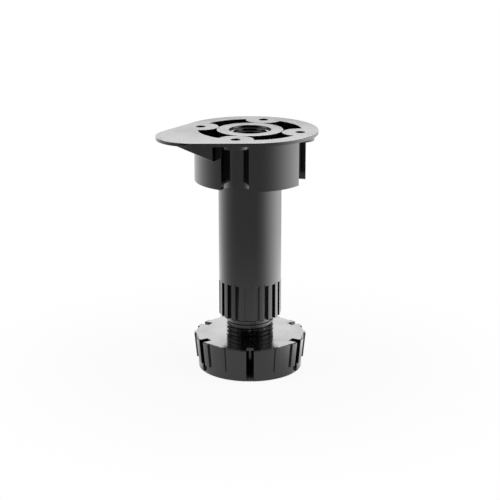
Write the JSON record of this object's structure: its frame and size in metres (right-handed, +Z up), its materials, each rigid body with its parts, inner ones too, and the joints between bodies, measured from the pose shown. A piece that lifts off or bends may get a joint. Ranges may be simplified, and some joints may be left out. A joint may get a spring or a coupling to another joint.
{
  "type": "adjustable cabinet leg",
  "caption": "Black plastic cabinet leg: lobed screw-on plate with a ribbed socket, a fluted tube and a castellated screw foot.",
  "frame": {"origin": "where the leg's axis meets the top face of the mounting plate, the face that is screwed to the cabinet", "axes": "+Z up along the leg's axis, out of the plate's top face; -Y towards the viewer of the picture, with the plate's lobe to the left and front"},
  "size_m": [0.0707, 0.0604, 0.1091],
  "materials": {
    "plate_plastic": "satin black, moulded",
    "tube_plastic": "satin black, moulded",
    "foot_plastic": "satin black, moulded"
  },
  "bodies": {
    "plate": {"mounting_plate": "plate_plastic"},
    "tube": {"leg_tube": "tube_plastic"},
    "foot": {"adjusting_foot": "foot_plastic"}
  },
  "joints": [
    {"name": "tube_turn", "type": "hinge", "parent": "plate", "child": "tube", "pos_m": [0, 0, -0.0204], "axis": [0, 0, 1], "range_deg": [-1638, 2880]},
    {"name": "foot_travel", "type": "slide", "parent": "plate", "child": "foot", "axis": [0, 0, -1], "range_m": [-0.00911, 0.01601]}
  ],
  "couplings": [
    {"joint": "foot_travel", "follows": "tube_turn", "m_per_rad": 0.00031831}
  ]
}
